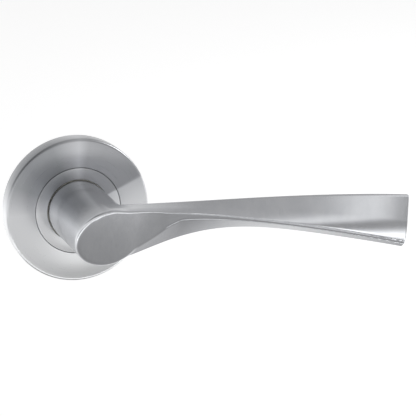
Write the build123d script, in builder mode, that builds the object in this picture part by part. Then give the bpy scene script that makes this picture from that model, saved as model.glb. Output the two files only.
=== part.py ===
from build123d import *
from math import comb, cos, degrees, radians, sin, sqrt
import os

os.makedirs("parts", exist_ok=True)

# ---------------------------------------------------------------------------
# Lever handle on a round sprung rose, one side of a door. Millimetres.
# The origin is on the spindle axis, in the plane of the door's face.
# +X runs along the lever, +Z is up, and -Y points out of the door to the user.
# "Reach" is a distance out of the door's face, so a point's Y is minus its reach.
# Round pieces are drawn as seen from the front, with angles from +X towards +Z.
# ---------------------------------------------------------------------------

# Lever
lever_length = 108.0          # spindle axis to the tip
neck_radius = 11.0
facet_reach = 45.0            # the slanted facet crosses the spindle axis here
facet_slope = 0.5             # reach gained per millimetre of height
facet_bend = 30.0             # from here on the facet's line swings out, towards the tip
facet_swing = 0.117           # reach gained per millimetre of length, past the bend
facet_bend_radius = 240.0
back_reach_root = 39.4        # back edge of the blade, at the neck and at the tip
back_reach_tip = 51.0
underside_reach_root = 38.0   # lower back edge of the blade, at the neck and at the tip
underside_reach_tip = 46.0
face_crown = 0.5              # how far the upper face bulges
back_crown_root = 0.5         # how far the back bulges, at the neck and at the tip
back_crown_tip = 2.4
station_count = 15            # sections that the blade is lofted through

# Heights of the blade's three edges along the lever, each a smooth curve drawn towards its points
back_edge_heights = (neck_radius - 0.5, 9.8, 11.0, 8.1)
crease_heights = (neck_radius - 0.4, 7.5, -0.2, -10.4)
underside_heights = (0.4 - neck_radius, -9.7, 8.4, -2.1, -4.7, -8.7, -13.4)
crease_overrun = 0.8          # the crease runs past the facet by this much, which the facet cuts away
gusset_overrun = 10.0         # and by this much more at the neck
gusset_share = 0.24           # share of the length where the underside runs down into the neck
gusset_fall = 1.5             # how sharply the neck's share dies away along that stretch

# Rose
rose_diameter = 52.0
rose_height = 7.0
cover_thickness = 1.0
cover_edge_radius = 1.0
collar_width = 4.2
collar_thickness = 0.9
collar_skirt_depth = 1.4
collar_skirt_wall = 0.6
collar_edge_radius = 0.15
collar_setback = 0.1          # the collar's face lies this far behind the cover's face

# Sub-rose
plate_thickness = 2.4
rim_wall = 1.0
rib_width = 1.6
rib_height = 2.0
rib_angles = (30.0, 150.0, 210.0, 330.0)
fixing_centres = 38.0         # lugs above and below the spindle, bolts on both sides of it
lug_radius = 3.5
lug_length = 8.0

# Bearing
journal_step = 2.2            # the neck's shoulder outside its journal
bush_wall = 1.4
bush_flange_width = 3.4
bush_flange_thickness = 0.8
thrust_washer_thickness = 0.3
journal_end_reach = 0.4

# Spring cassette, from the door outwards
spring_plate_thickness = 0.6
spring_wire = 1.1
spring_turns = 1.25
spring_leg_length = 2.2
driver_hub_wall = 1.6
driver_tab_thickness = 0.8
driver_tab_overhang = 1.6     # the tab reaches this far past the spring's pocket
driver_tab_width_angle = 18.0
driver_tab_angle = 202.5      # centre of the tab with the lever at rest
lever_turn_angle = 45.0
buffer_angle = 6.0
stop_gap_angle = 0.5
circlip_thickness = 0.8
circlip_groove_depth = 0.6
shim_thickness = 0.3
wave_washer_thickness = 0.4   # as pressed flat
circlip_lug_radius = 0.9
circlip_lug_room = 0.1
circlip_open_angle = 270.0
circlip_gap_angle = 9.0
circlip_lug_angle = 16.0
flat_depth = 1.1              # two flats on the journal drive the hub

# Spindle and its screw
spindle_width = 8.0
spindle_back = -46.0
spindle_front = 29.5
spindle_chamfer = 0.8
grub_screw_radius = 3.0
grub_screw_reach = 16.0
grub_screw_socket = 3.0       # hexagon, across flats
grub_screw_recess = 0.4

# Fixings
bolt_radius = 2.0
bolt_head_radius = 3.4
bolt_head_height = 2.4
bolt_seat_reach = 1.4
bolt_end = -11.0
nut_radius = 2.9
nut_back = -12.0
nut_front = -4.0
wood_screw_angles = (45.0, 225.0)
wood_screw_radius = 1.75
wood_screw_head_radius = 3.1
wood_screw_head_height = 1.6
wood_screw_end = -16.0
wood_screw_point = 4.0
wood_screw_tip_radius = 0.4
screw_slot_width = 0.9
plate_screw_angles = (135.0, 315.0)
plate_screw_radius = 1.0
plate_screw_head_radius = 1.7
plate_screw_length = 2.2
plate_ear_radius = 2.4
plate_lap = 1.0               # the seat for the spring plate is this much wider than the pocket
plate_screw_edge = 2.2        # from the pocket's edge to a screw's centre

# Snap ring
snap_wire = 0.9
snap_reach = 1.2
snap_gap_angle = 40.0

# Clearances
running_clearance = 0.05      # shafts in bearings, thrust faces
slide_clearance = 0.15        # cover over the collar and the snap ring
free_clearance = 0.3          # neighbours that pass each other without touching
screw_clearance = 0.15        # holes round screws and bolts
part_clearance = 0.1          # pieces laid in a recess

# ---------------------------------------------------------------------------
# Sizes that follow
# ---------------------------------------------------------------------------

collar_inner = neck_radius + free_clearance
collar_outer = collar_inner + collar_width
cover_hole = collar_outer + slide_clearance
cover_outer = rose_diameter / 2
cover_inner = cover_outer - cover_thickness
collar_front = rose_height - collar_setback
collar_back = collar_front - collar_thickness

journal_radius = neck_radius - journal_step
bush_inner = journal_radius + running_clearance
bush_outer = bush_inner + bush_wall
bush_flange_outer = bush_inner + bush_flange_width
bush_flange_back = collar_back - bush_flange_thickness
thrust_washer_front = collar_back + thrust_washer_thickness
shoulder_reach = thrust_washer_front + running_clearance

plate_back_clear = part_clearance
spring_plate_front = plate_back_clear + spring_plate_thickness
spring_back = spring_plate_front + part_clearance
spring_pitch = spring_wire + part_clearance
spring_rise = spring_turns * spring_pitch
driver_tab_back = spring_back + spring_rise + spring_wire + part_clearance
driver_front = driver_tab_back + driver_tab_thickness
pocket_depth = driver_front + running_clearance
circlip_back = spring_back
circlip_front = circlip_back + circlip_thickness
shim_back = circlip_front + running_clearance
wave_washer_back = shim_back + shim_thickness + running_clearance
driver_back = wave_washer_back + wave_washer_thickness + running_clearance

driver_hub_outer = journal_radius + driver_hub_wall
spring_radius = driver_hub_outer + free_clearance + spring_wire / 2
pocket_radius = spring_radius + spring_wire / 2 + free_clearance
tab_outer = pocket_radius + driver_tab_overhang
slot_outer = tab_outer + free_clearance
boss_lower_radius = collar_outer - 2 * part_clearance
boss_upper_radius = collar_outer - collar_skirt_wall
boss_step_reach = collar_back - collar_skirt_depth
plate_radius = cover_inner - free_clearance - part_clearance
fixing_radius = fixing_centres / 2
plate_screw_place = pocket_radius + plate_screw_edge
plate_seat_radius = pocket_radius + plate_lap
spindle_bore = spindle_width + 2 * running_clearance
snap_ring_radius = cover_inner - slide_clearance - snap_wire / 2
sink_reach = plate_thickness - wood_screw_head_height
point_reach = wood_screw_end + wood_screw_point


def at_reach(reach):
    """The plane parallel to the door, this far out of its face, facing the user."""
    return Plane.XZ.offset(reach)


def polar(radius, angle):
    """A point at a radius and an angle in degrees, in a plane parallel to the door."""
    return (radius * cos(radians(angle)), radius * sin(radians(angle)))


def add_disc(radius, back, front, centre=(0, 0), mode=Mode.ADD):
    """Add or cut a disc between two reaches, centred on a point of the door's plane."""
    with BuildSketch(at_reach(back)) as disc:
        with Locations(centre):
            Circle(radius)
    extrude(disc.sketch, amount=front - back, mode=mode)


def add_ring(outer, inner, back, front, mode=Mode.ADD):
    """Add or cut a flat ring round the spindle axis, between two reaches."""
    with BuildSketch(at_reach(back)) as ring:
        Circle(outer)
        Circle(inner, mode=Mode.SUBTRACT)
    extrude(ring.sketch, amount=front - back, mode=mode)


def add_sector(outer, inner, start_angle, end_angle, back, front, mode=Mode.ADD):
    """Add or cut a piece of a ring between two angles and two reaches."""
    with BuildSketch(at_reach(back)) as sector:
        with BuildLine():
            outer_arc = CenterArc((0, 0), outer, start_angle, end_angle - start_angle)
            inner_arc = CenterArc((0, 0), inner, start_angle, end_angle - start_angle)
            Line(outer_arc @ 0, inner_arc @ 0)
            Line(outer_arc @ 1, inner_arc @ 1)
        make_face()
    extrude(sector.sketch, amount=front - back, mode=mode)


# ---------------------------------------------------------------------------
# Lever: one stainless casting. A round neck stands out of the rose and is cut off by a
# slanted facet. The blade leaves it sideways, and its upper face turns to the front along it.
# ---------------------------------------------------------------------------

def along_curve(heights, share):
    """Height of a smooth (Bezier) curve at a share of its length, from its few drawn points."""
    degree = len(heights) - 1
    weights = [comb(degree, k) * share**k * (1 - share) ** (degree - k) for k in range(degree + 1)]
    return sum(weight * height for weight, height in zip(weights, heights))


def between(root, tip, share):
    """A size that changes evenly from the neck to the tip."""
    return root + share * (tip - root)


def blade_corners(share):
    """The blade section's back, front and lower corners, as (minus reach, height)."""
    height = along_curve(crease_heights, share)
    swing = facet_swing * max(0.0, share * lever_length - facet_bend)
    crease = Vector(-(facet_reach + facet_slope * height + swing), height)
    back = Vector(
        -between(back_reach_root, back_reach_tip, share), along_curve(back_edge_heights, share)
    )
    overrun = crease_overrun + gusset_overrun * max(0.0, 1 - share / gusset_share) ** gusset_fall
    front = crease + (crease - back).normalized() * overrun
    lower = Vector(
        -between(underside_reach_root, underside_reach_tip, share),
        along_curve(underside_heights, share),
    )
    return back, front, lower


with BuildPart() as blade:
    for station in range(station_count):
        share = station / (station_count - 1)
        back, front, lower = blade_corners(share)
        with BuildSketch(Plane.YZ.offset(share * lever_length)):
            with BuildLine():
                SagittaArc(back, front, -face_crown)
                Line(front, lower)
                SagittaArc(lower, back, -between(back_crown_root, back_crown_tip, share))
            make_face()
    loft()

facet_length = lever_length + 2 * neck_radius
facet_plane = Plane(origin=(0, -facet_reach, 0), x_dir=(1, 0, 0), z_dir=(0, -facet_slope, 1))
facet_tilt = sqrt(1 + facet_slope**2)     # reach for each millimetre square to the facet
facet_far = (facet_length, -facet_swing * (facet_length - facet_bend) / facet_tilt)

with BuildPart() as facet_cutter:
    with BuildSketch(facet_plane):
        with BuildLine():
            facet_line = FilletPolyline(
                (-2 * neck_radius, 0), (facet_bend, 0), facet_far, radius=facet_bend_radius
            )
            Polyline(
                facet_line @ 1,
                (facet_length, -2 * facet_reach),
                (-2 * neck_radius, -2 * facet_reach),
                facet_line @ 0,
            )
        make_face()
    extrude(amount=3 * neck_radius, both=True)

with BuildPart() as lever:
    add_disc(neck_radius, shoulder_reach, facet_reach + neck_radius)
    add(blade.part)
    add(facet_cutter.part, mode=Mode.SUBTRACT)
    add_disc(journal_radius, journal_end_reach, shoulder_reach)
    add_ring(
        neck_radius, journal_radius - circlip_groove_depth,
        circlip_back, circlip_front + running_clearance, mode=Mode.SUBTRACT,
    )
    with BuildSketch(at_reach(journal_end_reach)):
        for side in (-1, 1):
            with Locations((side * (journal_radius + neck_radius - flat_depth), 0)):
                Rectangle(2 * neck_radius, 2 * neck_radius)
    extrude(amount=driver_front - journal_end_reach, mode=Mode.SUBTRACT)
    with BuildSketch(at_reach(journal_end_reach)):
        Rectangle(spindle_bore, spindle_bore)
    extrude(amount=spindle_front + part_clearance - journal_end_reach, mode=Mode.SUBTRACT)
    with BuildSketch(Plane.XY.offset(-neck_radius)):
        with Locations((0, -grub_screw_reach)):
            Circle(grub_screw_radius + part_clearance)
    extrude(amount=neck_radius, mode=Mode.SUBTRACT)

lever.part.label = "lever"
export_step(lever.part, "parts/lever.step")

# ---------------------------------------------------------------------------
# Sub-rose: the fixing plate screwed to the door. Its boss carries the neck bush and holds the
# spring cassette, its two lugs sit in the door, and its rim and ribs back the cover.
# ---------------------------------------------------------------------------

tab_half_angle = driver_tab_width_angle / 2
stop_angle = stop_gap_angle + buffer_angle
slot_start = driver_tab_angle - lever_turn_angle - tab_half_angle - stop_angle
slot_end = driver_tab_angle + tab_half_angle + stop_angle
spring_turn_angle = 360 * spring_turns
spring_leg_angle = degrees((spring_wire / 2 + part_clearance) / spring_radius)
spring_free_angle = driver_tab_angle - tab_half_angle - spring_leg_angle
spring_fixed_angle = spring_free_angle - spring_turn_angle
notch_half_width = spring_wire / 2 + part_clearance
rim_outer = plate_radius
rim_front = rose_height - cover_thickness - part_clearance

with BuildPart() as sub_rose:
    add_disc(plate_radius, 0, plate_thickness)
    add_disc(boss_lower_radius, plate_thickness, boss_step_reach)
    add_disc(boss_upper_radius, boss_step_reach, collar_back)
    add_ring(rim_outer, rim_outer - rim_wall, plate_thickness, rim_front)
    for angle in rib_angles:
        with BuildSketch(at_reach(plate_thickness)) as rib:
            with Locations(polar((boss_lower_radius + rim_outer - rim_wall) / 2, angle)):
                Rectangle(rim_outer - boss_lower_radius, rib_width, rotation=angle)
        extrude(rib.sketch, amount=rib_height)
    for side in (-1, 1):
        add_disc(lug_radius, -lug_length, 0, centre=(0, side * fixing_radius))
    # Bore for the bush, with a seat for its flange behind the collar
    add_disc(bush_outer, 0, collar_back, mode=Mode.SUBTRACT)
    add_disc(bush_flange_outer, bush_flange_back, collar_back, mode=Mode.SUBTRACT)
    # Spring pocket, slot for the driver's tab, and a notch for the spring's fixed leg
    add_disc(pocket_radius, 0, pocket_depth, mode=Mode.SUBTRACT)
    add_sector(
        slot_outer, pocket_radius - spring_wire, slot_start, slot_end,
        driver_tab_back - running_clearance, pocket_depth, mode=Mode.SUBTRACT,
    )
    with BuildSketch(at_reach(0)) as notch:
        with Locations(polar(pocket_radius, spring_fixed_angle)):
            Rectangle(2 * spring_leg_length, 2 * notch_half_width, rotation=spring_fixed_angle)
    extrude(notch.sketch, amount=spring_back + spring_wire + part_clearance, mode=Mode.SUBTRACT)
    # Seat for the spring plate and its ears, and pilot holes for its screws
    add_disc(plate_seat_radius, 0, spring_plate_front + part_clearance, mode=Mode.SUBTRACT)
    for angle in plate_screw_angles:
        place = polar(plate_screw_place, angle)
        add_disc(
            plate_ear_radius + part_clearance, 0, spring_plate_front + part_clearance,
            centre=place, mode=Mode.SUBTRACT,
        )
        add_disc(
            plate_screw_radius, 0, plate_screw_length + part_clearance,
            centre=place, mode=Mode.SUBTRACT,
        )
    # Holes and seats for the bolts and the wood screws
    for side in (-1, 1):
        place = (side * fixing_radius, 0)
        add_disc(
            bolt_radius + screw_clearance, 0, rim_front, centre=place, mode=Mode.SUBTRACT
        )
        add_disc(
            bolt_head_radius + screw_clearance, bolt_seat_reach, rim_front,
            centre=place, mode=Mode.SUBTRACT,
        )
    for angle in wood_screw_angles:
        place = polar(fixing_radius, angle)
        with BuildSketch(at_reach(0)) as pilot:
            with Locations(place):
                Circle(wood_screw_radius + screw_clearance)
        extrude(pilot.sketch, amount=rim_front, mode=Mode.SUBTRACT)
        with BuildSketch(at_reach(sink_reach - part_clearance)) as sink_low:
            with Locations(place):
                Circle(wood_screw_radius + screw_clearance)
        with BuildSketch(at_reach(plate_thickness)) as sink_top:
            with Locations(place):
                Circle(wood_screw_head_radius + screw_clearance)
        loft([sink_low.sketch, sink_top.sketch], mode=Mode.SUBTRACT)
        add_disc(
            wood_screw_head_radius + screw_clearance, plate_thickness, rim_front,
            centre=place, mode=Mode.SUBTRACT,
        )
    # Groove round the rim for the snap ring
    add_ring(
        2 * plate_radius, snap_ring_radius - snap_wire / 2,
        snap_reach - snap_wire / 2 - part_clearance, snap_reach + snap_wire / 2 + part_clearance,
        mode=Mode.SUBTRACT,
    )

sub_rose.part.label = "sub_rose"
export_step(sub_rose.part, "parts/sub_rose.step")

# ---------------------------------------------------------------------------
# Neck bush: nylon, pressed into the boss. The lever's journal turns in it, and its flange is
# held down by the collar.
# ---------------------------------------------------------------------------

with BuildPart() as neck_bush:
    add_ring(bush_outer, bush_inner, pocket_depth, collar_back)
    add_ring(bush_flange_outer, bush_inner, bush_flange_back, collar_back)

neck_bush.part.label = "neck_bush"
export_step(neck_bush.part, "parts/neck_bush.step")

# ---------------------------------------------------------------------------
# Collar: the stainless ring round the neck, pressed over the boss by its skirt.
# ---------------------------------------------------------------------------

with BuildPart() as collar_ring:
    add_ring(collar_outer, collar_inner, collar_back, collar_front)
    add_ring(collar_outer, boss_upper_radius, boss_step_reach, collar_back)
    collar_rims = collar_ring.edges().filter_by(GeomType.CIRCLE).group_by(Axis.Y)[0]
    fillet(collar_rims, radius=collar_edge_radius)

collar_ring.part.label = "collar_ring"
export_step(collar_ring.part, "parts/collar_ring.step")

# ---------------------------------------------------------------------------
# Rose cover: a cup spun from stainless sheet. It snaps over the sub-rose and hides the fixings.
# ---------------------------------------------------------------------------

with BuildPart() as rose_cover:
    add_disc(cover_outer, 0, rose_height)
    front_rim = rose_cover.edges().filter_by(GeomType.CIRCLE).group_by(Axis.Y)[0]
    fillet(front_rim, radius=cover_edge_radius)
    add_disc(cover_inner, 0, rose_height - cover_thickness, mode=Mode.SUBTRACT)
    add_disc(cover_hole, 0, rose_height, mode=Mode.SUBTRACT)
    face_rims = rose_cover.edges().filter_by(GeomType.CIRCLE).group_by(Axis.Y)[0]
    fillet(face_rims.sort_by(SortBy.RADIUS)[0], radius=collar_edge_radius)

rose_cover.part.label = "rose_cover"
export_step(rose_cover.part, "parts/rose_cover.step")

# ---------------------------------------------------------------------------
# Snap ring: split spring-wire ring in the sub-rose's rim groove, grips the cover's wall.
# ---------------------------------------------------------------------------

with BuildPart() as snap_ring:
    with BuildSketch(Plane.XY) as wire_section:
        with Locations((snap_ring_radius, -snap_reach)):
            Circle(snap_wire / 2)
    revolve(wire_section.sketch, axis=Axis.Y, revolution_arc=360 - snap_gap_angle)

snap_ring.part.label = "snap_ring"
export_step(snap_ring.part, "parts/snap_ring.step")

# ---------------------------------------------------------------------------
# Spring cassette: the plate that closes it and its two screws, the two stop buffers, and the
# driver on the journal's flats, held there by a wave washer, a shim and a circlip.
# ---------------------------------------------------------------------------

with BuildPart() as spring_plate:
    add_ring(
        plate_seat_radius - part_clearance, journal_radius + free_clearance,
        plate_back_clear, spring_plate_front,
    )
    for angle in plate_screw_angles:
        place = polar(plate_screw_place, angle)
        add_disc(plate_ear_radius, plate_back_clear, spring_plate_front, centre=place)
    add_disc(
        journal_radius + free_clearance, plate_back_clear, spring_plate_front, mode=Mode.SUBTRACT
    )
    for angle in plate_screw_angles:
        place = polar(plate_screw_place, angle)
        add_disc(
            plate_screw_radius + part_clearance, plate_back_clear, spring_plate_front,
            centre=place, mode=Mode.SUBTRACT,
        )

spring_plate.part.label = "spring_plate"
export_step(spring_plate.part, "parts/spring_plate.step")

with BuildPart() as plate_screws:
    for angle in plate_screw_angles:
        place = polar(plate_screw_place, angle)
        add_disc(plate_screw_head_radius, 0, plate_back_clear, centre=place)
        add_disc(plate_screw_radius, plate_back_clear, plate_screw_length, centre=place)

plate_screws.part.label = "plate_screws"
export_step(plate_screws.part, "parts/plate_screws.step")

with BuildPart() as stop_buffers:
    for start in (slot_start, slot_end - buffer_angle):
        add_sector(
            slot_outer - part_clearance, pocket_radius + part_clearance,
            start, start + buffer_angle, driver_tab_back, driver_front,
        )

stop_buffers.part.label = "stop_buffers"
export_step(stop_buffers.part, "parts/stop_buffers.step")

with BuildPart() as spring_driver:
    add_ring(driver_hub_outer, journal_radius - flat_depth, driver_back, driver_front)
    add_sector(
        tab_outer, driver_hub_outer - driver_hub_wall / 2,
        driver_tab_angle - tab_half_angle, driver_tab_angle + tab_half_angle,
        driver_tab_back, driver_front,
    )
    with BuildSketch(at_reach(driver_back)) as keyed_bore:
        Circle(journal_radius + running_clearance)
        Rectangle(
            2 * (journal_radius - flat_depth + running_clearance), 2 * neck_radius,
            mode=Mode.INTERSECT,
        )
    extrude(keyed_bore.sketch, amount=driver_front - driver_back, mode=Mode.SUBTRACT)

spring_driver.part.label = "spring_driver"
export_step(spring_driver.part, "parts/spring_driver.step")

with BuildPart() as shim_washer:
    add_ring(
        driver_hub_outer, journal_radius + running_clearance,
        shim_back, shim_back + shim_thickness,
    )

shim_washer.part.label = "shim_washer"
export_step(shim_washer.part, "parts/shim_washer.step")

with BuildPart() as wave_washer:
    add_ring(
        driver_hub_outer, journal_radius + running_clearance,
        wave_washer_back, wave_washer_back + wave_washer_thickness,
    )

wave_washer.part.label = "wave_washer"
export_step(wave_washer.part, "parts/wave_washer.step")

circlip_inner = journal_radius - circlip_groove_depth + running_clearance
circlip_outer = driver_hub_outer - circlip_lug_room
with BuildPart() as circlip:
    add_ring(circlip_outer, circlip_inner, circlip_back, circlip_front)
    for side in (-1, 1):
        lug_angle = circlip_open_angle + side * circlip_lug_angle
        place = polar(circlip_outer - circlip_lug_radius, lug_angle)
        add_disc(circlip_lug_radius, circlip_back, circlip_front, centre=place)
    add_disc(circlip_inner, circlip_back, circlip_front, mode=Mode.SUBTRACT)
    add_sector(
        2 * circlip_outer, circlip_inner / 2,
        circlip_open_angle - circlip_gap_angle, circlip_open_angle + circlip_gap_angle,
        circlip_back, circlip_front, mode=Mode.SUBTRACT,
    )

circlip.part.label = "circlip"
export_step(circlip.part, "parts/circlip.step")

with BuildPart() as thrust_washer:
    add_ring(neck_radius, journal_radius + running_clearance, collar_back, thrust_washer_front)

thrust_washer.part.label = "thrust_washer"
export_step(thrust_washer.part, "parts/thrust_washer.step")

# ---------------------------------------------------------------------------
# Return spring: a flat torsion coil round the driver's hub. One leg is bent outwards into the
# sub-rose's notch, and the other forwards against the driver's tab.
# ---------------------------------------------------------------------------

coil_base = spring_back + spring_wire / 2
coil_top = coil_base + spring_rise
helix_start_angle = 270.0     # where a helix about -Y begins, seen from the front

with BuildPart() as spring_coil:
    with BuildLine() as coil_path:
        coil = Helix(
            pitch=spring_pitch, height=spring_rise, radius=spring_radius,
            center=(0, -coil_base, 0), direction=(0, -1, 0),
        )
    with BuildSketch(Plane(origin=coil @ 0, z_dir=coil % 0)) as wire_end:
        Circle(spring_wire / 2)
    sweep(wire_end.sketch, path=coil, is_frenet=True)

with BuildPart() as return_spring:
    add(spring_coil.part, rotation=(0, helix_start_angle - spring_fixed_angle, 0))
    fixed_x, fixed_z = polar(spring_radius, spring_fixed_angle)
    free_x, free_z = polar(spring_radius, spring_free_angle)
    with Locations((fixed_x, -coil_base, fixed_z), (free_x, -coil_top, free_z)):
        Sphere(spring_wire / 2)
    with BuildSketch(
        Plane(origin=(fixed_x, -coil_base, fixed_z), z_dir=(fixed_x, 0, fixed_z))
    ) as fixed_leg:
        Circle(spring_wire / 2)
    extrude(fixed_leg.sketch, amount=spring_leg_length)
    add_disc(spring_wire / 2, coil_top, driver_front, centre=(free_x, free_z))

return_spring.part.label = "return_spring"
export_step(return_spring.part, "parts/return_spring.step")

# ---------------------------------------------------------------------------
# Spindle: a square steel bar held in the lever's neck. It turns the latch inside the door.
# ---------------------------------------------------------------------------

with BuildPart() as spindle:
    with BuildSketch(at_reach(spindle_back)):
        Rectangle(spindle_width, spindle_width)
    extrude(amount=spindle_front - spindle_back)
    chamfer(spindle.faces().sort_by(Axis.Y)[-1].edges(), length=spindle_chamfer)

spindle.part.label = "spindle"
export_step(spindle.part, "parts/spindle.step")

# ---------------------------------------------------------------------------
# Grub screw: clamps the spindle from below, with a hexagon socket in its outer end.
# ---------------------------------------------------------------------------

grub_end = -neck_radius + grub_screw_recess
grub_length = neck_radius - grub_screw_recess - spindle_width / 2
with BuildPart() as grub_screw:
    with BuildSketch(Plane.XY.offset(grub_end)) as grub_body:
        with Locations((0, -grub_screw_reach)):
            Circle(grub_screw_radius)
    extrude(grub_body.sketch, amount=grub_length)
    with BuildSketch(Plane.XY.offset(grub_end)) as grub_socket:
        with Locations((0, -grub_screw_reach)):
            RegularPolygon(grub_screw_socket / 2, 6, major_radius=False)
    extrude(grub_socket.sketch, amount=grub_length / 2, mode=Mode.SUBTRACT)

grub_screw.part.label = "grub_screw"
export_step(grub_screw.part, "parts/grub_screw.step")

# ---------------------------------------------------------------------------
# Fixings: two bolts through the door with sleeve nuts, and two wood screws.
# ---------------------------------------------------------------------------

with BuildPart() as through_bolts:
    for side in (-1, 1):
        place = (side * fixing_radius, 0)
        add_disc(bolt_radius, bolt_end, bolt_seat_reach, centre=place)
        add_disc(
            bolt_head_radius, bolt_seat_reach, bolt_seat_reach + bolt_head_height, centre=place
        )
        with BuildSketch(at_reach(bolt_seat_reach + bolt_head_height / 2)) as slot:
            with Locations(place):
                Rectangle(2 * bolt_head_radius, screw_slot_width)
        extrude(slot.sketch, amount=bolt_head_height / 2, mode=Mode.SUBTRACT)

through_bolts.part.label = "through_bolts"
export_step(through_bolts.part, "parts/through_bolts.step")

with BuildPart() as sleeve_nuts:
    for side in (-1, 1):
        place = (side * fixing_radius, 0)
        add_disc(nut_radius, nut_back, nut_front, centre=place)
        add_disc(bolt_radius, bolt_end, nut_front, centre=place, mode=Mode.SUBTRACT)

sleeve_nuts.part.label = "sleeve_nuts"
export_step(sleeve_nuts.part, "parts/sleeve_nuts.step")

with BuildPart() as wood_screws:
    for angle in wood_screw_angles:
        place = polar(fixing_radius, angle)
        add_disc(wood_screw_radius, point_reach, sink_reach, centre=place)
        with BuildSketch(at_reach(wood_screw_end)) as point_tip:
            with Locations(place):
                Circle(wood_screw_tip_radius)
        with BuildSketch(at_reach(point_reach)) as point_base:
            with Locations(place):
                Circle(wood_screw_radius)
        loft([point_tip.sketch, point_base.sketch])
        with BuildSketch(at_reach(sink_reach)) as sink_bottom:
            with Locations(place):
                Circle(wood_screw_radius)
        with BuildSketch(at_reach(plate_thickness)) as sink_face:
            with Locations(place):
                Circle(wood_screw_head_radius)
        loft([sink_bottom.sketch, sink_face.sketch])
        with BuildSketch(at_reach(plate_thickness - screw_slot_width)) as cross_slot:
            with Locations(place):
                Rectangle(wood_screw_head_radius, screw_slot_width, rotation=angle)
                Rectangle(screw_slot_width, wood_screw_head_radius, rotation=angle)
        extrude(cross_slot.sketch, amount=screw_slot_width, mode=Mode.SUBTRACT)

wood_screws.part.label = "wood_screws"
export_step(wood_screws.part, "parts/wood_screws.step")
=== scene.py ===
from math import radians

import bmesh
import bpy
import numpy as np
from mathutils import Matrix, Vector


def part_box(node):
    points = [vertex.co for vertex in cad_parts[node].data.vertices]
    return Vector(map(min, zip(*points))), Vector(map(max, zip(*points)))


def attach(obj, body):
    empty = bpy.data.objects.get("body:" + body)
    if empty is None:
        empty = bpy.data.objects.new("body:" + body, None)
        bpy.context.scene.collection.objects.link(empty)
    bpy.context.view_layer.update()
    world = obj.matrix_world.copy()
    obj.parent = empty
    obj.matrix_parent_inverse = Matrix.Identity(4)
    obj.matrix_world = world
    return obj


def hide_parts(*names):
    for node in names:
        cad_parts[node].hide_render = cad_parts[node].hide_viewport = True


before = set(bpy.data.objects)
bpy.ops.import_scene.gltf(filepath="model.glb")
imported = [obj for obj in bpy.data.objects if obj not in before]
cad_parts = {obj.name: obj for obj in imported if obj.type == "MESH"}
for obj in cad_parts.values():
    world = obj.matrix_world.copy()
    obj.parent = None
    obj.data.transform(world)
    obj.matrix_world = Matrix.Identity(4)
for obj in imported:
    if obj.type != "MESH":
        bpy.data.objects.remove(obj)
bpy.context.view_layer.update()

# The parts are in metres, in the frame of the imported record. The spindle's axis runs along Y,
# the door's face is the plane Y = 0, and -Y points out of the door, towards the user.
MM = 0.001


# ---------------------------------------------------------------------------
# Camera: a little above the lever and to the left of the door's normal, with a long lens from
# over half a metre away, so that near and far ends keep nearly the same scale.
# ---------------------------------------------------------------------------

camera_yaw = radians(19.6)
camera_pitch = radians(15.49)
camera_place = Vector((-0.1400, -0.5368, 0.1523))

camera_data = bpy.data.cameras.new("camera")
camera_data.lens = 138.46
camera_data.sensor_width = 36.0
camera_data.clip_start = 0.01
camera = bpy.data.objects.new("camera", camera_data)
bpy.context.collection.objects.link(camera)
camera.matrix_world = (
    Matrix.Translation(camera_place)
    @ Matrix.Rotation(-camera_yaw, 4, "Z")
    @ Matrix.Rotation(radians(90) - camera_pitch, 4, "X")
)
bpy.context.scene.camera = camera


# ---------------------------------------------------------------------------
# Satin stainless: the lever's cast steel, ground with a belt across its length and left brushed.
# The scratches lie across the lever, about a sixth of a millimetre apart, over a slow mottle.
# ---------------------------------------------------------------------------

def linear(hex_colour):
    """An sRGB colour such as "#C0C1C3" as linear red, green, blue and alpha."""
    srgb = np.array([int(hex_colour[i:i + 2], 16) for i in (1, 3, 5)]) / 255
    rgb = np.where(srgb <= 0.04045, srgb / 12.92, ((srgb + 0.055) / 1.055) ** 2.4)
    return (*rgb.tolist(), 1.0)


def add_node(tree, kind, inputs=None, **settings):
    """Add a node, set its settings, and set or link its inputs. Returns the node."""
    node = tree.nodes.new(kind)
    for name, value in settings.items():
        setattr(node, name, value)
    for name, value in (inputs or {}).items():
        socket = node.inputs[name]
        if isinstance(value, bpy.types.NodeSocket):
            tree.links.new(value, socket)
        else:
            socket.default_value = value
    return node


def new_material(name):
    """An empty material with a Principled shader, as (material, tree, shader)."""
    material = bpy.data.materials.new(name)
    material.use_nodes = True
    tree = material.node_tree
    tree.nodes.clear()
    shader = add_node(tree, "ShaderNodeBsdfPrincipled")
    add_node(tree, "ShaderNodeOutputMaterial", {"Surface": shader.outputs["BSDF"]})
    return material, tree, shader


def streaks(tree, vector, detail=3.0):
    """Noise of unit size in stretched coordinates: one value for each scratch."""
    noise = add_node(
        tree, "ShaderNodeTexNoise",
        {"Vector": vector, "Scale": 1.0, "Detail": detail, "Roughness": 0.6},
        noise_dimensions="3D",
    )
    return noise.outputs["Fac"]


def span(tree, value, low, high):
    """A value from 0 to 1 spread from low to high."""
    ramp = add_node(
        tree, "ShaderNodeMapRange",
        {"Value": value, "From Min": 0.25, "From Max": 0.75, "To Min": low, "To Max": high},
    )
    return ramp.outputs["Result"]


def scaled_place(tree, size_x, size_y, size_z):
    """The place on the object, counted in pattern sizes given in millimetres along each axis."""
    place = add_node(tree, "ShaderNodeTexCoord")
    scale = tuple(1 / (size * MM) for size in (size_x, size_y, size_z))
    mapping = add_node(
        tree, "ShaderNodeMapping", {"Vector": place.outputs["Object"], "Scale": scale}
    )
    return mapping.outputs["Vector"]


def shade_between(tree, value, dark, light):
    """A colour between two, by a value from 0 to 1."""
    mix = add_node(
        tree, "ShaderNodeMix", {"Factor": value, "A": linear(dark), "B": linear(light)},
        data_type="RGBA",
    )
    return mix.outputs[2]


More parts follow.
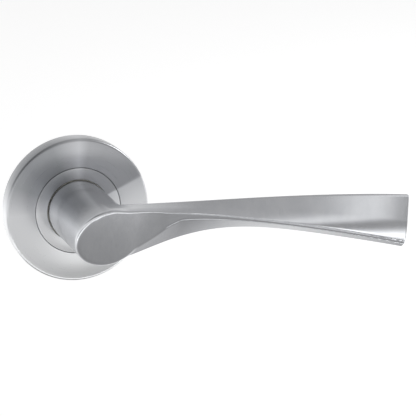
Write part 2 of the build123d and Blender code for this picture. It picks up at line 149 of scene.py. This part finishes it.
def satin_stainless():
    """Belt-ground stainless steel: fine scratches across X, over a faint slow mottle."""
    material, tree, shader = new_material("satin_stainless")
    fine = streaks(tree, scaled_place(tree, 0.16, 2.5, 2.5))
    broad = streaks(tree, scaled_place(tree, 5.0, 5.0, 9.0))
    tone = add_node(tree, "ShaderNodeMath", {0: span(tree, fine, 0.0, 0.5)}, operation="ADD")
    tree.links.new(span(tree, broad, 0.0, 0.5), tone.inputs[1])
    shader.inputs["Metallic"].default_value = 1.0
    shader.inputs["Anisotropic"].default_value = 0.3
    tangent = add_node(tree, "ShaderNodeTangent", direction_type="RADIAL", axis="X")
    tree.links.new(tangent.outputs["Tangent"], shader.inputs["Tangent"])
    tree.links.new(shade_between(tree, tone.outputs["Value"], "#CBCDD1", "#DADBDE"),
                   shader.inputs["Base Color"])
    tree.links.new(span(tree, fine, 0.17, 0.23), shader.inputs["Roughness"])
    bump = add_node(tree, "ShaderNodeBump", {"Strength": 0.05, "Distance": 0.00002, "Height": fine})
    tree.links.new(bump.outputs["Normal"], shader.inputs["Normal"])
    return material


satin = satin_stainless()


# ---------------------------------------------------------------------------
# Lever: one casting. A round neck comes out of the rose and a slanted facet cuts it off. The
# blade leaves it sideways, a three-cornered bar whose upper face turns to the front.
# ---------------------------------------------------------------------------

running_clearance = 0.05
lever_low, lever_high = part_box("lever")
lever_length = lever_high[0] / MM
neck_radius = -lever_low[0] / MM
neck_foot = -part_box("thrust_washer")[0][1] / MM + running_clearance

facet_reach = 45.0
facet_slope = 0.5
facet_bend = 30.0
facet_swing = 0.117
facet_bend_radius = 240.0
back_reach = (39.4, 51.0)
underside_reach = (38.0, 46.0)
face_crown = (0.12, 0.27)
face_knee = 0.55
back_crown = (0.5, 2.4)
back_edge_heights = (neck_radius - 0.5, 9.8, 11.0, 8.1)
crease_heights = (neck_radius - 0.4, 7.5, -0.2, -10.4)
underside_heights = (0.4 - neck_radius, -9.7, 8.4, -2.1, -4.7, -8.7, -13.4)
crease_overrun = 0.8
gusset_overrun = 10.0
gusset_share = 0.24
gusset_fall = 1.5

# Roundings of the blade's front, back, root and tip edges, and of the corner against the neck
front_rounding, back_rounding, root_rounding, tip_rounding = 0.4, 1.0, 0.5, 0.7
neck_fillet = 1.2
rim_rounding_blade, rim_rounding_neck = 0.3, 0.9    # the facet's rim is softer at the neck
groove_rounding, hole_rounding = 0.08, 0.12
facet_crown = 0.35        # the facet falls away by this much towards the neck's edge
groove_radius = 0.24      # a fine ground line runs along each edge of the strip below the crease
groove_start, groove_run = 10.0, 20.0
screw_low, screw_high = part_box("grub_screw")
screw_reach = -(screw_low[1] + screw_high[1]) / 2 / MM
screw_hole_radius = screw_high[0] / MM + 0.1
screw_hole_floor = 7.4    # the hole is drawn this far from the axis, and the screw fills the rest


def along_curve(heights, share):
    """A Bezier curve through the first and last heights, drawn towards the others."""
    degree = len(heights) - 1
    total = np.zeros_like(share)
    choices = 1.0
    for k, height in enumerate(heights):
        total = total + choices * height * share**k * (1 - share) ** (degree - k)
        choices = choices * (degree - k) / (k + 1)
    return total


def facet_swing_out(x):
    """How far the facet has swung out at x: nothing up to the bend, then a line, joined by an arc."""
    half_bend = facet_bend_radius * np.tan(np.arctan(facet_swing) / 2)
    t = np.clip((x - facet_bend + half_bend) / (2 * half_bend), 0, 1)
    arc = facet_swing * half_bend * t**2
    return np.where(x > facet_bend + half_bend, facet_swing * (x - facet_bend), arc)


def corners(x):
    """The blade section's back, front and lower corners at x, each as (reach, height)."""
    share = np.clip(x / lever_length, 0, 1)
    crease_z = along_curve(crease_heights, share)
    crease_h = facet_reach + facet_slope * crease_z + facet_swing_out(x)
    back_h = back_reach[0] + share * (back_reach[1] - back_reach[0])
    back_z = along_curve(back_edge_heights, share)
    overrun = crease_overrun + gusset_overrun * np.maximum(0, 1 - share / gusset_share) ** gusset_fall
    length = np.hypot(crease_h - back_h, crease_z - back_z)
    front_h = crease_h + (crease_h - back_h) / length * overrun
    front_z = crease_z + (crease_z - back_z) / length * overrun
    low_h = underside_reach[0] + share * (underside_reach[1] - underside_reach[0])
    low_z = along_curve(underside_heights, share)
    return (back_h, back_z), (front_h, front_z), (low_h, low_z), (crease_h, crease_z)


def beyond(h, z, start, end, crown, knee=0.0):
    """Distance outside a side of the section, which bulges by its crown between two corners.

    A side with a knee is flat up to that share of its width, and curves down from there.
    """
    run_h, run_z = end[0] - start[0], end[1] - start[1]
    length = np.hypot(run_h, run_z)
    along = ((h - start[0]) * run_h + (z - start[1]) * run_z) / length**2
    out = (-(h - start[0]) * run_z + (z - start[1]) * run_h) / length
    return out - 4 * crown * (along - (np.maximum(along - knee, 0) / (1 - knee)) ** 2)


def from_root(sizes, x):
    """A size that changes evenly from the neck to the tip, at x."""
    return sizes[0] + np.clip(x / lever_length, 0, 1) * (sizes[1] - sizes[0])


def round_and(a, b, radius):
    """The greater of two distances, with the corner between them rounded to a radius."""
    near = np.maximum(radius - np.abs(a - b), 0)
    return np.maximum(a, b) + near**2 / (4 * radius)


def round_or(a, b, radius):
    """The lesser of two distances, with the inner corner between them filled to a radius."""
    return -round_and(-a, -b, radius)


def strip_edge(x, front, low):
    """Where the facet cuts the underside at x, as (reach, height)."""
    gap = [h - facet_reach - facet_slope * z - facet_swing_out(x) for h, z in (front, low)]
    share = gap[0] / (gap[0] - gap[1])
    return tuple(f + share * (l - f) for f, l in zip(front, low))


def outside_lever(x, h, z):
    """Distance outside the lever, below 0 inside it."""
    back, front, low, crease = corners(x)
    upper_face = beyond(h, z, back, crease, from_root(face_crown, x), face_knee)
    underside = beyond(h, z, front, low, 0.0)
    back_face = beyond(h, z, low, back, from_root(back_crown, x))
    blade = round_and(round_and(upper_face, underside, front_rounding), back_face, back_rounding)
    blade = round_and(round_and(blade, -x, root_rounding), x - lever_length, tip_rounding)
    neck = np.hypot(x, z) - neck_radius
    facet = (h - facet_reach - facet_slope * z - facet_swing_out(x)) / np.hypot(1, facet_slope)
    facet = facet + facet_crown * (x**2 + z**2) / neck_radius**2 * np.clip(2 - x / 10, 0, 1)
    rim_radius = rim_rounding_blade + rim_rounding_neck * np.clip((12 - x) / 14, 0, 1)
    whole = round_and(round_or(neck, blade, neck_fillet), facet, rim_radius)
    groove = groove_radius * np.clip((x - groove_start) / groove_run, 0, 1)
    for edge in (crease, strip_edge(x, front, low)):
        whole = round_and(whole, groove - np.hypot(h - edge[0], z - edge[1]), groove_rounding)
    in_hole = np.minimum(screw_hole_radius - np.hypot(x, h - screw_reach), -z - screw_hole_floor)
    return round_and(whole, in_hole, hole_rounding)


def edge_of(origin, direction, reach):
    """Where rays leave the lever, by halving the interval from 0 to reach 32 times."""
    near = np.zeros(direction.shape[1:])
    far = np.full(direction.shape[1:], reach)
    for _ in range(32):
        middle = (near + far) / 2
        inside = outside_lever(*(origin + middle * direction)) < 0
        near = np.where(inside, middle, near)
        far = np.where(inside, far, middle)
    return origin + near * direction


def grid_faces(rows, columns):
    """Quads of a grid of rows by columns, closed round its columns."""
    row = np.arange(rows - 1)[:, None]
    column = np.arange(columns)[None, :]
    after = (column + 1) % columns
    quads = np.stack(
        [row * columns + column, row * columns + after,
         (row + 1) * columns + after, (row + 1) * columns + column], axis=-1,
    )
    return quads.reshape(-1, 4)


def new_piece(name, points, faces, material, body, slot):
    """A smooth-shaded object from points in millimetres as (x, reach, z) and faces."""
    mesh = bpy.data.meshes.new(name)
    world = np.column_stack([points[:, 0], -points[:, 1], points[:, 2]]) * MM
    mesh.from_pydata(world.tolist(), [], [list(face) for face in faces])
    build = bmesh.new()
    build.from_mesh(mesh)
    bmesh.ops.recalc_face_normals(build, faces=build.faces)
    build.to_mesh(mesh)
    build.free()
    mesh.shade_smooth()
    piece = bpy.data.objects.new(name, mesh)
    bpy.context.collection.objects.link(piece)
    mesh.materials.append(material)
    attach(piece, body)
    return piece


def capped(points, rows, columns):
    """The grid's points and faces with a fan of triangles to a pole at each end."""
    start = rows * columns
    poles = np.stack([points[:columns].mean(axis=0), points[-columns:].mean(axis=0)])
    column = np.arange(columns)
    after = (column + 1) % columns
    first = np.stack([np.full(columns, start), after, column], axis=-1)
    last_row = (rows - 1) * columns
    last = np.stack([np.full(columns, start + 1), last_row + column, last_row + after], axis=-1)
    faces = grid_faces(rows, columns).tolist() + first.tolist() + last.tolist()
    return np.vstack([points, poles]), faces


def lever_surface():
    """The lever's outer surface, as rings round a spine.

    The spine follows the neck outwards, turns about a line beside it, and runs along the blade.
    In each plane across the spine, a ring's points are where rays from the spine leave the
    rounded union of the neck and the blade, cut off by the facet. The same points of every ring
    lie on the blade's four edges, and the others crowd towards the edges.
    """
    pivot_x, pivot_h = neck_radius + 2.2, underside_reach[0] - 2.2
    hole_start, hole_end = screw_reach - 3.4, screw_reach + 3.4
    neck_h = np.concatenate([
        np.linspace(neck_foot, hole_start, 6)[:-1], np.linspace(hole_start, hole_end, 38),
        np.linspace(hole_end, pivot_h, 14)[1:-1],
    ])
    turn = np.linspace(0, np.pi / 2, 84)[:-1]
    blade_x = np.concatenate([
        np.linspace(pivot_x, lever_length - 2, 130),
        lever_length - 2 * np.linspace(1, 0, 14)[1:-1] ** 1.5,
    ])
    back, front, low, crease = corners(blade_x)
    blade_h = (2 * back[0] + crease[0] + low[0]) / 4 - from_root(back_crown, blade_x) / 2
    blade_z = (2 * back[1] + crease[1] + low[1]) / 4
    turn_u = pivot_x + (blade_h[0] - pivot_h - pivot_x) * turn / (np.pi / 2)

    still = np.zeros_like(neck_h)
    centre = np.stack([
        np.concatenate([still, pivot_x - turn_u * np.cos(turn), blade_x]),
        np.concatenate([neck_h, pivot_h + turn_u * np.sin(turn), blade_h]),
        np.concatenate([still, blade_z[0] * turn / (np.pi / 2), blade_z]),
    ])
    tilt = np.concatenate([still, turn, np.full_like(blade_x, np.pi / 2)])
    side = np.stack([-np.cos(tilt), np.sin(tilt), np.zeros_like(tilt)])
    up = np.array([0, 0, 1])[:, None, None]

    edges = [crease, back, low, strip_edge(blade_x, front, low)]
    edge_angle = np.stack([np.arctan2(z - blade_z, h - blade_h) for h, z in edges], axis=1)
    between = np.diff(edge_angle, axis=1) % (2 * np.pi)
    first = edge_angle[:, :1]
    edge_angle = np.hstack([first, first + np.cumsum(between, axis=1), first + 2 * np.pi])
    bends = len(neck_h) + len(turn)
    start = np.concatenate([np.full(bends, edge_angle[0, 0]), edge_angle[:, 0]])

    def ring_at(angle):
        direction = side[:, :, None] * np.cos(angle) + up * np.sin(angle)
        return edge_of(centre[:, :, None], direction, 24.0)

    angle = start[:, None] + np.linspace(0, 2 * np.pi, 721)
    steps = np.linalg.norm(np.diff(ring_at(angle), axis=2), axis=0)
    length = np.concatenate([np.zeros((len(steps), 1)), np.cumsum(steps, axis=1)], axis=1)
    rows = len(length)
    even = [np.linspace(0, 1, count, endpoint=False) for count in (80, 64, 70, 74)]
    crowded = [0.25 * share + 0.75 * (1 - np.cos(np.pi * share)) / 2 for share in even]
    for row in range(rows):
        blade_row = max(row - bends, 0)
        marks = np.interp(edge_angle[blade_row], angle[bends + blade_row], length[bends + blade_row])
        marks = marks / marks[-1] * length[row, -1]
        wanted = np.concatenate([
            low_mark + share * (high_mark - low_mark)
            for share, low_mark, high_mark in zip(crowded, marks[:-1], marks[1:])
        ])
        angle[row, :len(wanted)] = np.interp(wanted, length[row], angle[row])
    ring = ring_at(angle[:, :len(wanted)])
    return capped(np.moveaxis(ring, 0, -1).reshape(-1, 3), rows, len(wanted))


lever_piece = new_piece("lever_casting", *lever_surface(), satin, "lever_set", "satin_stainless")
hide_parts("lever")


# ---------------------------------------------------------------------------
# Journal: the neck's turned end, which runs in the bush. Two flats drive the spring's hub, a
# groove holds the circlip, and a square hole takes the spindle.
# ---------------------------------------------------------------------------

journal_radius = neck_radius - 2.2
clip_groove_radius = journal_radius - 0.6
flat_half = journal_radius - 1.1
journal_end = 0.4
journal_chamfer = 0.25
journal_overlap = 0.5     # the journal runs this far into the casting, out of sight


def journal_surface():
    """A ring whose outer radius is the journal's, less the groove and the flats.

    Its inner radius is that of the square hole: half the hole's width, divided by the cosine or
    the sine of the angle, whichever is greater.
    """
    clip_low, clip_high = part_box("circlip")
    bore_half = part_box("spindle")[1][0] / MM + running_clearance
    drive_end = -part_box("spring_driver")[0][1] / MM
    groove_back, groove_front = -clip_high[1] / MM, -clip_low[1] / MM + running_clearance
    front_end = neck_foot + journal_overlap

    angle = np.linspace(0, 2 * np.pi, 240, endpoint=False)
    flats = np.minimum(journal_radius, flat_half / np.maximum(np.abs(np.cos(angle)), 0.01))
    bore = bore_half / np.maximum(np.abs(np.cos(angle)), np.abs(np.sin(angle)))
    full = np.full_like(angle, journal_radius)
    groove = np.minimum(flats, clip_groove_radius)
    outline = [
        (bore, journal_end), (flats - journal_chamfer, journal_end),
        (flats, journal_end + journal_chamfer), (flats, groove_back), (groove, groove_back),
        (groove, groove_front), (flats, groove_front), (flats, drive_end), (full, drive_end),
        (full, front_end), (bore, front_end),
    ]
    rings = [
        np.stack([radius * np.cos(angle), np.full_like(angle, reach), radius * np.sin(angle)], axis=1)
        for radius, reach in outline
    ]
    count = len(outline) * len(angle)
    return np.vstack(rings), (grid_faces(len(outline) + 1, len(angle)) % count).tolist()


journal_piece = new_piece("lever_journal", *journal_surface(), satin, "lever_set", "satin_stainless")
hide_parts("lever")
journal_piece.data.set_sharp_from_angle(angle=radians(35))


# ---------------------------------------------------------------------------
# Rose: the cover is a cup spun from stainless sheet over the sub-rose, and the collar is a flat
# ring pressed on the boss inside it. Both faces are turned, with fine rings round the neck.
# ---------------------------------------------------------------------------

def turned_stainless():
    """Stainless steel faced on a lathe: rings 0.12 mm apart, and a fan of sheen.

    The rings' anisotropic shine gives part of the fan. The rest is painted sheen: a base colour
    that changes with the angle round the spindle's axis, in painted light and dark sectors of
    reflection that stay put when the view or the lights move.
    """
    material, tree, shader = new_material("turned_stainless")
    place = add_node(tree, "ShaderNodeTexCoord")
    axes = add_node(tree, "ShaderNodeSeparateXYZ", {"Vector": place.outputs["Object"]})
    flat = add_node(
        tree, "ShaderNodeCombineXYZ", {"X": axes.outputs["X"], "Z": axes.outputs["Z"]}
    )
    radius = add_node(tree, "ShaderNodeVectorMath", {"Vector": flat.outputs["Vector"]}, operation="LENGTH")
    rings = add_node(
        tree, "ShaderNodeMath", {"Value": radius.outputs["Value"]}, operation="MULTIPLY"
    )
    rings.inputs[1].default_value = 1 / (0.12 * MM)
    way = add_node(tree, "ShaderNodeVectorMath", {"Vector": flat.outputs["Vector"]}, operation="NORMALIZE")
    way_axes = add_node(tree, "ShaderNodeSeparateXYZ", {"Vector": way.outputs["Vector"]})
    ring_place = add_node(
        tree, "ShaderNodeCombineXYZ",
        {"X": rings.outputs["Value"], "Y": way_axes.outputs["X"], "Z": way_axes.outputs["Z"]},
    )
    fine = streaks(tree, ring_place.outputs["Vector"])
    angle = add_node(tree, "ShaderNodeMath", operation="ARCTAN2")
    tree.links.new(axes.outputs["Z"], angle.inputs[0])
    tree.links.new(axes.outputs["X"], angle.inputs[1])
    turn = add_node(
        tree, "ShaderNodeMapRange",
        {"Value": angle.outputs["Value"], "From Min": -np.pi, "From Max": np.pi},
    )
    # Painted sheen: this ramp paints lighter and darker sectors of reflection into the base colour, by the
    # angle round the spindle's axis.
    fan = add_node(tree, "ShaderNodeValToRGB", {"Fac": turn.outputs["Result"]})
    sheen = {
        0.00: "#E2E3E5", 0.25: "#ECEDEE", 0.565: "#E6E7E9", 0.572: "#B0B1B4", 0.68: "#AEAFB2",
        0.72: "#B4B5B8", 0.745: "#CFD0D3", 0.765: "#C4C5C8", 0.81: "#A4A6A9", 0.88: "#9A9CA0",
        0.93: "#A8AAAD", 0.97: "#CBCCCF", 1.00: "#E2E3E5",
    }
    for _ in range(len(sheen) - 2):
        fan.color_ramp.elements.new(0.5)
    for stop, (position, shade) in zip(fan.color_ramp.elements, sheen.items()):
        stop.position = position
        stop.color = linear(shade)
    tree.links.new(fan.outputs["Color"], shader.inputs["Base Color"])
    tree.links.new(span(tree, fine, 0.26, 0.36), shader.inputs["Roughness"])
    shader.inputs["Metallic"].default_value = 1.0
    shader.inputs["Anisotropic"].default_value = 0.5
    tangent = add_node(tree, "ShaderNodeTangent", direction_type="RADIAL", axis="Y")
    tree.links.new(tangent.outputs["Tangent"], shader.inputs["Tangent"])
    bump = add_node(tree, "ShaderNodeBump", {"Strength": 0.15, "Distance": 0.00002, "Height": fine})
    tree.links.new(bump.outputs["Normal"], shader.inputs["Normal"])
    return material


def rounded_outline(profile, steps=6):
    """An outline through corners given as (radius, reach, rounding), each rounding an arc."""
    outline = []
    for k, (radius, reach, rounding) in enumerate(profile):
        here = np.array([radius, reach])
        before = np.array(profile[k - 1][:2]) - here
        after = np.array(profile[(k + 1) % len(profile)][:2]) - here
        before, after = before / np.linalg.norm(before), after / np.linalg.norm(after)
        if rounding == 0:
            outline.append(here)
            continue
        half = np.arccos(np.clip(before @ after, -1, 1)) / 2
        bisector = (before + after) / np.linalg.norm(before + after)
        centre = here + bisector * rounding / np.sin(half)
        side = np.array([-bisector[1], bisector[0]])
        side = side if side @ before > 0 else -side
        for sweep in np.linspace(np.pi / 2 - half, half - np.pi / 2, steps):
            outline.append(centre + rounding * (side * np.sin(sweep) - bisector * np.cos(sweep)))
    return np.array(outline)


def turned_ring(name, profile, material, body, slot, segments=256):
    """A ring turned about the spindle's axis from a closed outline."""
    outline = rounded_outline(profile)
    angle = np.linspace(0, 2 * np.pi, segments, endpoint=False)
    radius, reach = np.append(outline, outline[:1], axis=0).T
    points = np.stack([
        radius[:, None] * np.cos(angle), np.repeat(reach[:, None], segments, axis=1),
        radius[:, None] * np.sin(angle),
    ], axis=-1)[:-1].reshape(-1, 3)
    rows = len(outline)
    faces = grid_faces(rows + 1, segments) % (rows * segments)
    return new_piece(name, points, faces.tolist(), material, body, slot)


turned = turned_stainless()
cover_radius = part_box("rose_cover")[1][0] / MM
cover_face = -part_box("rose_cover")[0][1] / MM
collar_low, collar_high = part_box("collar_ring")
collar_outer = collar_high[0] / MM
collar_face = -collar_low[1] / MM
collar_foot = -collar_high[1] / MM
collar_width, collar_thickness, skirt_wall, sheet = 4.2, 0.9, 0.6, 1.0
cover_clearance = 0.15
cover_hole = collar_outer + cover_clearance

cover_piece = turned_ring(
    "rose_cover_shell",
    [
        (cover_radius - sheet, 0, 0.15), (cover_radius, 0, 0.15), (cover_radius, cover_face, sheet),
        (cover_hole, cover_face, 0.15), (cover_hole, cover_face - sheet, 0.1),
        (cover_radius - sheet, cover_face - sheet, 0.3),
    ],
    turned, "cover", "turned_stainless",
)
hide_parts("rose_cover")

collar_piece = turned_ring(
    "collar",
    [
        (collar_outer - collar_width, collar_face - collar_thickness, 0.1),
        (collar_outer - collar_width, collar_face, 0.15), (collar_outer, collar_face, 0.15),
        (collar_outer, collar_foot, 0.1), (collar_outer - skirt_wall, collar_foot, 0.1),
        (collar_outer - skirt_wall, collar_face - collar_thickness, 0),
    ],
    turned, "rose_base", "turned_stainless",
)
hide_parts("collar_ring")


# ---------------------------------------------------------------------------
# Sub-rose: a zinc die casting, left as it comes from the tumbler, with a fine pebbled skin.
# ---------------------------------------------------------------------------

def rough_metal(name, dark, light, roughness, grain, bump_depth, metallic=1.0):
    """A metal with a mottled skin: grain is its size in millimetres, bump_depth its height."""
    material, tree, shader = new_material(name)
    skin = streaks(tree, scaled_place(tree, grain, grain, grain), detail=5.0)
    patches = streaks(tree, scaled_place(tree, 9 * grain, 9 * grain, 9 * grain), detail=2.0)
    shader.inputs["Metallic"].default_value = metallic
    tree.links.new(shade_between(tree, span(tree, patches, 0, 1), dark, light),
                   shader.inputs["Base Color"])
    tree.links.new(span(tree, skin, *roughness), shader.inputs["Roughness"])
    bump = add_node(
        tree, "ShaderNodeBump", {"Strength": 0.5, "Distance": bump_depth * MM, "Height": skin}
    )
    tree.links.new(bump.outputs["Normal"], shader.inputs["Normal"])
    return material


def finish(node, material):
    """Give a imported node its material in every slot."""
    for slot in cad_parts[node].material_slots:
        slot.material = material


zinc_casting = rough_metal("zinc_casting", "#8E9194", "#A6A9AC", (0.42, 0.58), 0.35, 0.03)
finish("sub_rose", zinc_casting)


# ---------------------------------------------------------------------------
# Fixings: bright zinc-plated steel, with the faint blue cast of its passivation. Spindle: drawn steel.
# ---------------------------------------------------------------------------

zinc_plate = rough_metal("zinc_plated_steel", "#AEB4BB", "#C4CAD0", (0.22, 0.34), 0.5, 0.01)
for node in (
    "through_bolts", "sleeve_nuts", "wood_screws", "spring_plate", "plate_screws", "spring_driver",
):
    finish(node, zinc_plate)


def drawn_steel():
    """Cold-drawn bar: fine lines along the spindle, with a mill sheen."""
    material, tree, shader = new_material("drawn_steel")
    lines = streaks(tree, scaled_place(tree, 0.25, 25.0, 0.25), detail=4.0)
    shader.inputs["Metallic"].default_value = 1.0
    tree.links.new(shade_between(tree, span(tree, lines, 0, 1), "#A3A6AA", "#BFC2C6"),
                   shader.inputs["Base Color"])
    tree.links.new(span(tree, lines, 0.28, 0.42), shader.inputs["Roughness"])
    bump = add_node(tree, "ShaderNodeBump", {"Strength": 0.3, "Distance": 0.00002, "Height": lines})
    tree.links.new(bump.outputs["Normal"], shader.inputs["Normal"])
    return material


finish("spindle", drawn_steel())


# ---------------------------------------------------------------------------
# Wood screws: countersunk, cross-headed, rolled from wire, with a coarse thread to a gimlet point.
# ---------------------------------------------------------------------------

screws_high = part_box("wood_screws")[1]
screw_head_radius, screw_shank_radius = 3.1, 1.75
screw_end = -screws_high[1] / MM
screw_offset = screws_high[0] / MM - screw_head_radius


def wood_screw(centre_x, centre_z):
    """A turned outline whose radius dips between the turns of a helix below the head.

    The thread's ridge stands where reach over pitch plus the turn's angle is a whole number, and
    the face sinks by the recess's depth inside a cross.
    """
    end, point, sink, face = screw_end, screw_end + 4.0, 0.8, 2.4
    pitch, thread_depth, recess = 1.5, 0.5, 0.9
    shank, head = screw_shank_radius, screw_head_radius
    angle = np.linspace(0, 2 * np.pi, 72, endpoint=False)
    reach = np.concatenate([
        np.linspace(end, sink, 190), [face - 0.2, face], np.full(40, face),
    ])[:, None]
    radius = np.concatenate([
        np.interp(np.linspace(end, sink, 190), (end, point, sink), (0.15, shank, shank)),
        [head - 0.05, head], np.linspace(head, 0.02, 40),
    ])[:, None]
    phase = (reach / pitch + angle / (2 * np.pi)) % 1
    ridge = np.clip(1 - np.abs(2 * phase - 1) / 0.45, 0, 1)
    threaded = np.clip((sink - 2.5 - reach) / 1.0, 0, 1) * (reach < sink)
    turned_radius = radius - np.minimum(thread_depth, 0.6 * radius) * (1 - ridge) * threaded
    x, z = turned_radius * np.cos(angle), turned_radius * np.sin(angle)
    arm = np.minimum(np.abs(x), np.abs(z))
    reached = np.maximum(np.abs(x), np.abs(z))
    in_cross = np.clip((0.5 - arm) / 0.1, 0, 1) * np.clip((1.6 - reached) / 0.15, 0, 1)
    on_face = reach >= face
    height = np.where(on_face, reach - recess * in_cross, reach) + 0 * x
    points = np.stack([x + centre_x, height, z + centre_z], axis=-1).reshape(-1, 3)
    return capped(points, len(reach), len(angle))


first_points, first_faces = wood_screw(screw_offset, screw_offset)
second_points, second_faces = wood_screw(-screw_offset, -screw_offset)
shifted = [[corner + len(first_points) for corner in face] for face in second_faces]
screws_piece = new_piece(
    "wood_screws_threaded", np.vstack([first_points, second_points]), first_faces + shifted,
    zinc_plate, "rose_base", "zinc_plated_steel",
)
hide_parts("wood_screws")


# ---------------------------------------------------------------------------
# Spring cassette and bearing: tempered spring wire and washers, black oxide clips, a nylon bush
# and elastomer buffers.
# ---------------------------------------------------------------------------

spring_steel = rough_metal("spring_steel", "#6F7072", "#8A8A8B", (0.25, 0.40), 0.3, 0.01)
for node in ("return_spring", "wave_washer", "shim_washer", "snap_ring"):
    finish(node, spring_steel)

black_steel = rough_metal("black_steel", "#202124", "#35363A", (0.38, 0.52), 0.25, 0.015, 0.85)
for node in ("circlip", "grub_screw"):
    finish(node, black_steel)

white_nylon = rough_metal("white_nylon", "#DCD9CF", "#E9E7DF", (0.42, 0.55), 0.4, 0.01, 0.0)
for node in ("neck_bush", "thrust_washer"):
    finish(node, white_nylon)

black_elastomer = rough_metal("black_elastomer", "#17181A", "#26272A", (0.70, 0.85), 0.2, 0.02, 0.0)
finish("stop_buffers", black_elastomer)


# ---------------------------------------------------------------------------
# Floor and light: a plain pale floor and one softbox, in a room whose brightness changes with
# direction, so that polished edges and faces differ. The camera sees the room as a pale backdrop.
# ---------------------------------------------------------------------------

floor_mesh = bpy.data.meshes.new("floor")
floor_half = 6.0
floor_z = -0.14
floor_mesh.from_pydata(
    [(x * floor_half, y * floor_half, floor_z) for x, y in ((-1, -1), (1, -1), (1, 1), (-1, 1))],
    [], [(0, 1, 2, 3)],
)
floor = bpy.data.objects.new("floor", floor_mesh)
bpy.context.collection.objects.link(floor)
floor_material, floor_tree, floor_shader = new_material("painted_floor")
floor_shader.inputs["Base Color"].default_value = linear("#F2F2F2")
floor_shader.inputs["Roughness"].default_value = 0.9
floor_shader.inputs["Emission Color"].default_value = linear("#FFFFFF")
floor_shader.inputs["Emission Strength"].default_value = 0.45
floor.visible_glossy = False    # the metal reflects the room and not the floor
floor_mesh.materials.append(floor_material)

world = bpy.data.worlds.new("studio")
bpy.context.scene.world = world
world.use_nodes = True
world_tree = world.node_tree
world_tree.nodes.clear()
direction = add_node(world_tree, "ShaderNodeTexCoord")
axes = add_node(world_tree, "ShaderNodeSeparateXYZ", {"Vector": direction.outputs["Generated"]})


def room_side(levels):
    """The room's brightness by the sine of the elevation, from its levels."""
    height = add_node(
        world_tree, "ShaderNodeMapRange",
        {"Value": axes.outputs["Z"], "From Min": -1.0, "From Max": 1.0},
    )
    ramp = add_node(world_tree, "ShaderNodeValToRGB", {"Fac": height.outputs["Result"]})
    for _ in range(len(levels) - 2):
        ramp.color_ramp.elements.new(0.5)
    for stop, (sine, level) in zip(ramp.color_ramp.elements, levels.items()):
        stop.position = (sine + 1) / 2
        stop.color = (level, level, level, 1.0)
    return ramp.outputs["Color"]


def room_mix(one, other, axis, low, high):
    """One side of the room turning into the other, from low to high along an axis."""
    share = add_node(
        world_tree, "ShaderNodeMapRange",
        {"Value": axes.outputs[axis], "From Min": low, "From Max": high},
        interpolation_type="SMOOTHSTEP",
    )
    mix = add_node(
        world_tree, "ShaderNodeMix", {"Factor": share.outputs["Result"]}, data_type="RGBA"
    )
    world_tree.links.new(one, mix.inputs[6])
    world_tree.links.new(other, mix.inputs[7])
    return mix.outputs[2]


low_front = {
    -1.0: 0.32, -0.90: 0.40, -0.83: 0.55, -0.76: 1.2, -0.67: 2.4, -0.60: 1.8, -0.55: 0.5,
    -0.50: 0.34, -0.33: 0.34, -0.26: 1.15,
}
right_room = room_side({**low_front, -0.10: 1.0, 0.05: 0.70, 0.30: 0.55, 0.80: 0.50, 1.0: 0.45})
left_room = room_side({**low_front, -0.10: 1.3, 0.22: 1.1, 0.34: 0.25, 0.80: 0.25, 1.0: 0.40})
back_room = room_side({
    -1.0: 0.45, -0.80: 0.70, -0.45: 1.1, -0.20: 1.3, -0.05: 1.1, 0.10: 0.85, 0.35: 0.70, 1.0: 0.4,
})
front_room = room_mix(left_room, right_room, "X", -0.45, -0.05)
room = room_mix(front_room, back_room, "Y", 0.0, 0.5)
rays = add_node(world_tree, "ShaderNodeLightPath")
seen = add_node(
    world_tree, "ShaderNodeMix", {"Factor": rays.outputs["Is Camera Ray"]}, data_type="RGBA"
)
seen.inputs[7].default_value = linear("#F8F8F8")
world_tree.links.new(room, seen.inputs[6])
backdrop = add_node(world_tree, "ShaderNodeBackground", {"Color": seen.outputs[2]})
add_node(world_tree, "ShaderNodeOutputWorld", {"Surface": backdrop.outputs["Background"]})


def softbox(name, place, target, size, power):
    """A square area light at a place, facing a target."""
    data = bpy.data.lights.new(name, "AREA")
    data.size = size
    data.energy = power
    light = bpy.data.objects.new(name, data)
    bpy.context.collection.objects.link(light)
    aim = Vector(target) - Vector(place)
    light.matrix_world = Matrix.Translation(place) @ aim.to_track_quat("-Z", "Y").to_matrix().to_4x4()


softbox("key", (1.3, 0.0, 0.85), (0.0, 0, 0), 0.6, 7)
bpy.context.scene.view_settings.view_transform = "Standard"
